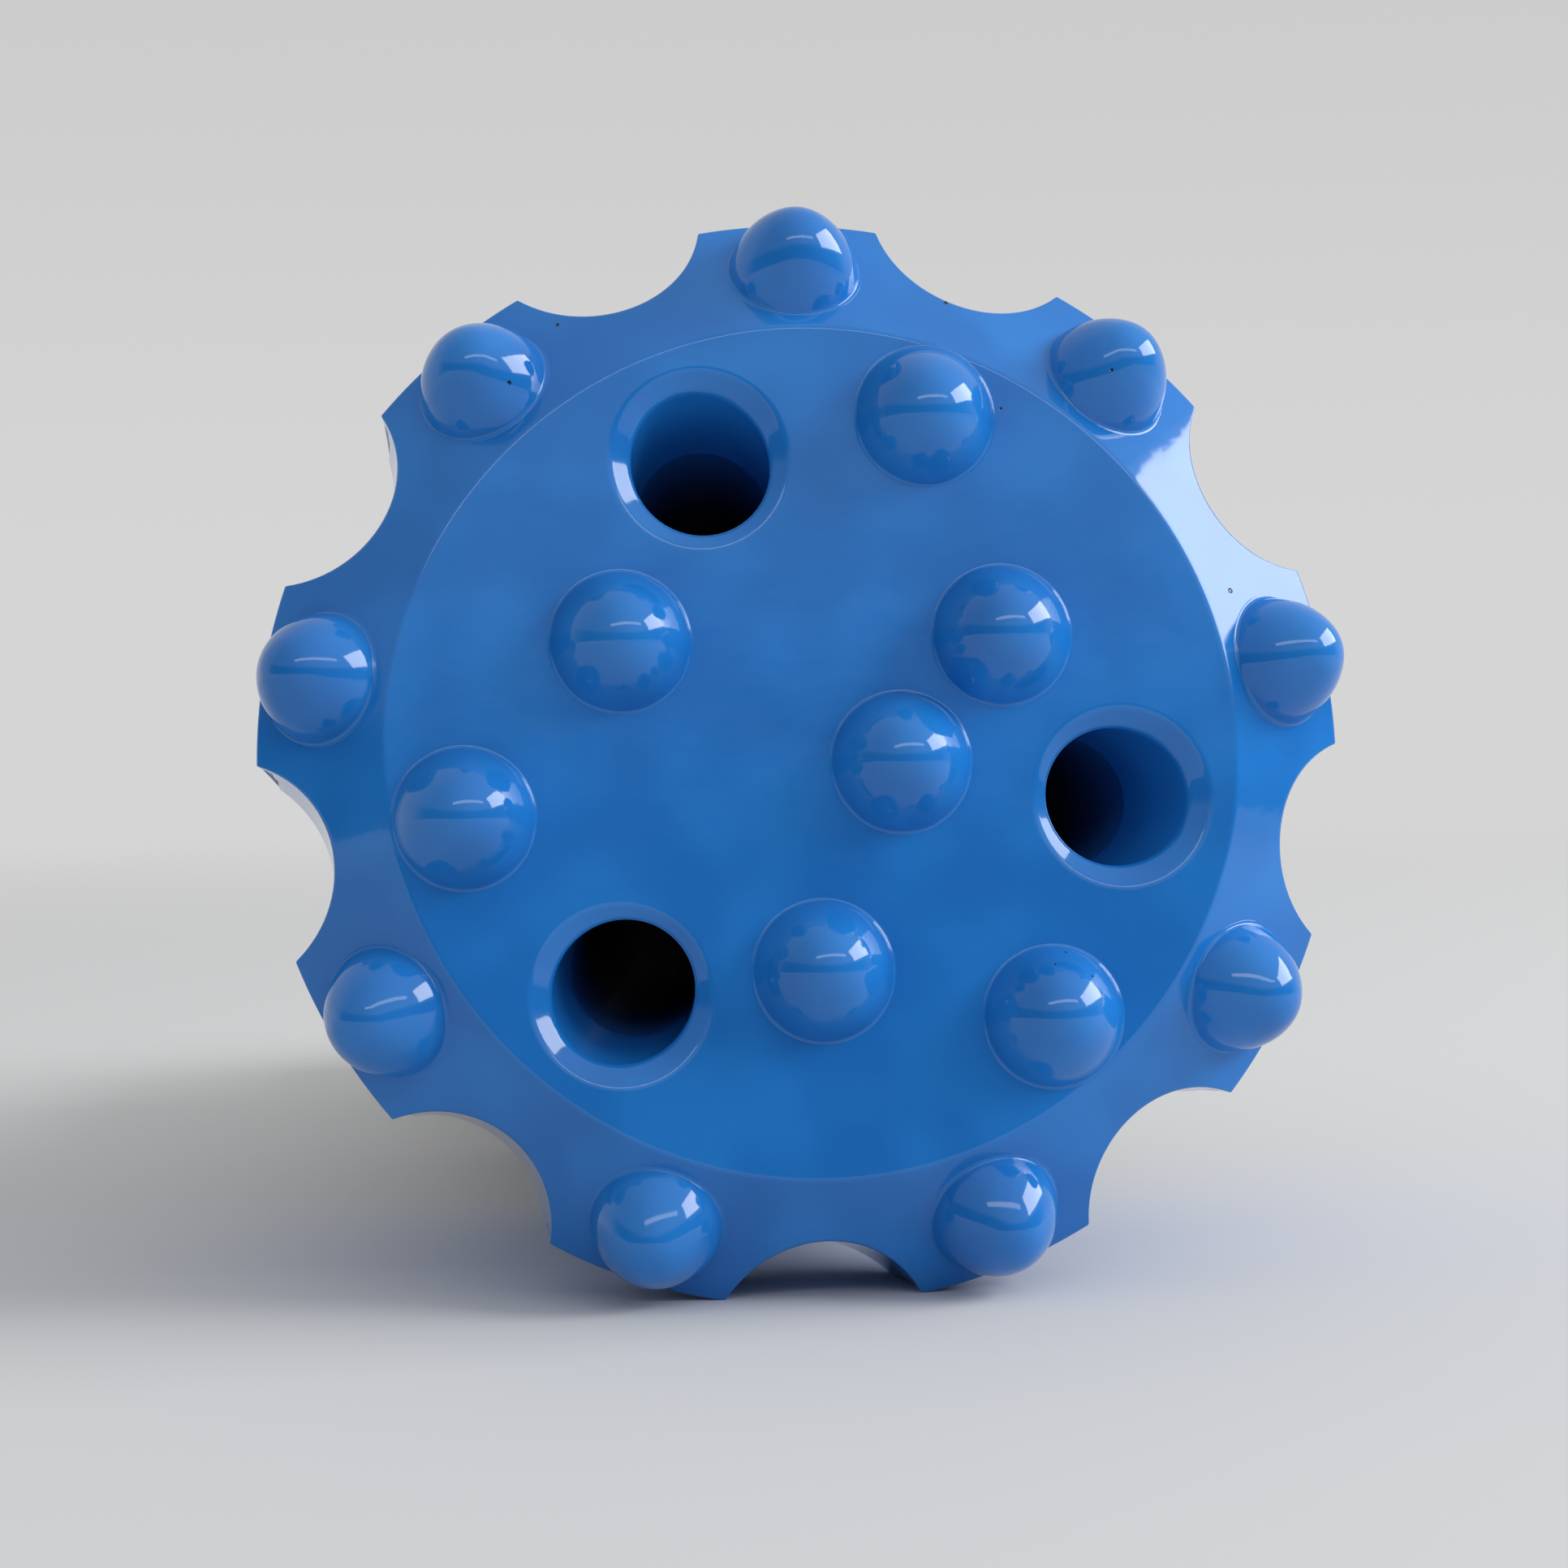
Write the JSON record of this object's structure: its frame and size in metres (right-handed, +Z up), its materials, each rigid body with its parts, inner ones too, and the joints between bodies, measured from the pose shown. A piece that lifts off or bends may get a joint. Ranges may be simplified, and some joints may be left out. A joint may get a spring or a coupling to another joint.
{
  "type": "button drill bit",
  "caption": "Painted down-the-hole hammer drill bit with domed carbide buttons, side flutes, slanted flushing holes, a splined shank and a foot valve.",
  "frame": {"origin": "bottom centre of the box round the bit as it lies on a level surface", "axes": "+Z up; +X to the right seen from the face; the bit's axis lies in the YZ plane, with the face towards -Y and tipped up"},
  "size_m": [0.1286, 0.2826, 0.1276],
  "materials": {
    "painted_steel": "thick gloss blue enamel over forged steel on the head, bare machined steel on the shank",
    "painted_carbide": "thick gloss blue enamel over carbide",
    "foot_valve_plastic": "natural moulded plastic"
  },
  "bodies": {
    "root": {"bit_body": "painted_steel", "gauge_button_1": "painted_carbide", "gauge_button_2": "painted_carbide", "gauge_button_3": "painted_carbide", "gauge_button_4": "painted_carbide", "gauge_button_5": "painted_carbide", "gauge_button_6": "painted_carbide", "gauge_button_7": "painted_carbide", "gauge_button_8": "painted_carbide", "gauge_button_9": "painted_carbide", "outer_button_1": "painted_carbide", "outer_button_2": "painted_carbide", "outer_button_3": "painted_carbide", "middle_button_1": "painted_carbide", "middle_button_2": "painted_carbide", "middle_button_3": "painted_carbide", "core_button": "painted_carbide", "foot_valve": "foot_valve_plastic"}
  },
  "joints": []
}
